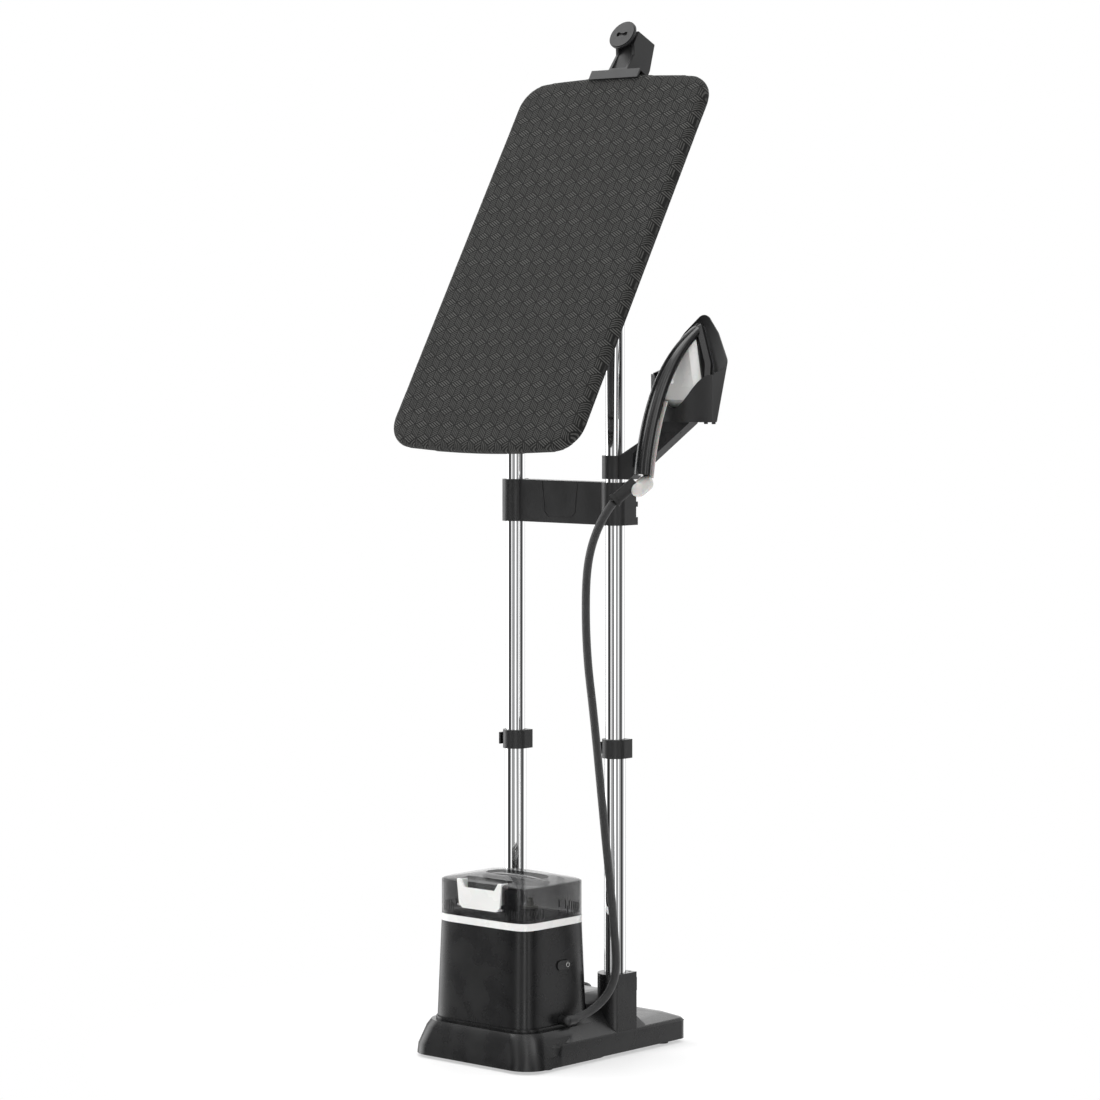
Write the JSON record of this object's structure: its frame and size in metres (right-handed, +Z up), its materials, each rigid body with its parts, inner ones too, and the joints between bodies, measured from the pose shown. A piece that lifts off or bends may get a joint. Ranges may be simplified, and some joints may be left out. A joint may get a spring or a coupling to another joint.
{
  "type": "upright garment steamer",
  "caption": "Upright garment steam station: a padded board tilts on two telescopic poles above a base that holds a steam generator with a lift-off water tank.",
  "frame": {"origin": "on the floor, at the middle of the rectangle that the part stands over at rest; the poles' axes are at x = -0.1577 and x = 0.0497, y = 0.011", "axes": "+X towards the pole that carries the steam head, -Y towards the user, +Z up"},
  "size_m": [0.5015, 0.4246, 1.6087],
  "materials": {
    "black_shell": "black moulded plastic, satin gloss",
    "black_plastic": "black moulded plastic, fine satin",
    "head_plastic": "black gloss",
    "rubber": "matt black rubber",
    "hose": "dark grey sleeved hose",
    "white_plastic": "white gloss",
    "natural_plastic": "natural plastic",
    "chrome": "bright chrome plate",
    "steel": "zinc plated steel",
    "sole": "satin anodised",
    "tank": "smoked clear plastic",
    "board_fabric": "charcoal woven cover with a block pattern",
    "felt": "natural felt",
    "seal_rubber": "red silicone",
    "pump_plastic": "moulded",
    "boiler_metal": "as cast",
    "circuit_board": "glass fibre laminate"
  },
  "bodies": {
    "base": {"base_cover": "black_shell", "base_plate": "black_plastic", "base_feet": "rubber", "base_screws": "steel", "left_socket": "black_shell", "right_socket": "black_shell", "lower_left_pole": "chrome", "lower_right_pole": "chrome", "pole_bushes": "natural_plastic", "left_clamp": "black_plastic", "right_clamp": "black_plastic", "clamp_pins": "steel", "generator_housing": "black_shell", "trim_band": "white_plastic", "tank_tray": "black_plastic", "valve_seal": "seal_rubber", "pump": "pump_plastic", "boiler": "boiler_metal", "control_board": "circuit_board", "hose_connector": "black_plastic", "lower_hose": "hose", "cord_grommet": "rubber", "mains_cord": "rubber"},
    "left_lever": {"left_clamp_lever": "black_plastic"},
    "right_lever": {"right_clamp_lever": "black_plastic"},
    "button": {"power_button": "head_plastic"},
    "tank": {"water_tank": "tank", "tank_lid": "tank", "tank_handle": "head_plastic", "tank_valve": "natural_plastic", "flap_pin": "steel"},
    "flap": {"fill_flap": "white_plastic"},
    "mast": {"upper_left_pole": "chrome", "upper_right_pole": "chrome", "pole_plugs": "natural_plastic", "crossbar": "black_plastic", "crossbar_back": "black_plastic", "crossbar_screws": "steel", "holder_arm": "black_plastic", "holder_cradle": "black_plastic", "holder_screws": "steel", "left_hinge_head": "black_plastic", "right_hinge_head": "black_plastic"},
    "board": {"tilt_shaft": "steel", "board_lugs": "black_plastic", "board_frame": "black_plastic", "board_pad": "felt", "board_cover": "board_fabric", "hook_foot": "black_plastic", "hook_post": "black_plastic", "hook_disc": "black_plastic"},
    "knob": {"tilt_knob": "black_plastic"},
    "steam_head": {"head_handle": "head_plastic", "handle_liner": "white_plastic", "head_body": "white_plastic", "head_skirt": "head_plastic", "soleplate": "sole", "hose_cuff": "rubber", "upper_hose": "hose"},
    "trigger": {"steam_trigger": "white_plastic"}
  },
  "joints": [
    {"name": "mast_height", "type": "slide", "parent": "base", "child": "mast", "axis": [0, 0, 1], "range_m": [-0.31, 0], "deforming": ["lower_hose"]},
    {"name": "board_tilt", "type": "hinge", "parent": "mast", "child": "board", "pos_m": [-0.054, 0.011, 1.2], "axis": [1, 0, 0], "range_deg": [-60, 30]},
    {"name": "knob_turn", "type": "hinge", "parent": "board", "child": "knob", "pos_m": [0.0717, 0.011, 1.2], "axis": [1, 0, 0], "range_deg": [0, 180]},
    {"name": "left_lever_open", "type": "hinge", "parent": "base", "child": "left_lever", "pos_m": [-0.1792, 0.024, 0.4705], "axis": [0, 0, -1], "range_deg": [0, 100]},
    {"name": "right_lever_open", "type": "hinge", "parent": "base", "child": "right_lever", "pos_m": [0.0282, 0.024, 0.4705], "axis": [0, 0, -1], "range_deg": [0, 100]},
    {"name": "tank_lift", "type": "slide", "parent": "base", "child": "tank", "axis": [0, 0, 1], "range_m": [0, 0.12]},
    {"name": "flap_open", "type": "hinge", "parent": "tank", "child": "flap", "pos_m": [-0.054, -0.1825, 0.237], "axis": [1, 0, 0], "range_deg": [0, 35]},
    {"name": "button_press", "type": "slide", "parent": "base", "child": "button", "axis": [-1, 0, 0], "range_m": [0, 0.002], "stiffness_N_per_m": 800},
    {"name": "head_lift", "type": "slide", "parent": "mast", "child": "steam_head", "axis": [0, 0.2756, 0.9613], "range_m": [0, 0.12], "deforming": ["upper_hose"]},
    {"name": "trigger_pull", "type": "slide", "parent": "steam_head", "child": "trigger", "axis": [0, -0.8211, 0.5707], "range_m": [0, 0.003], "stiffness_N_per_m": 600}
  ]
}
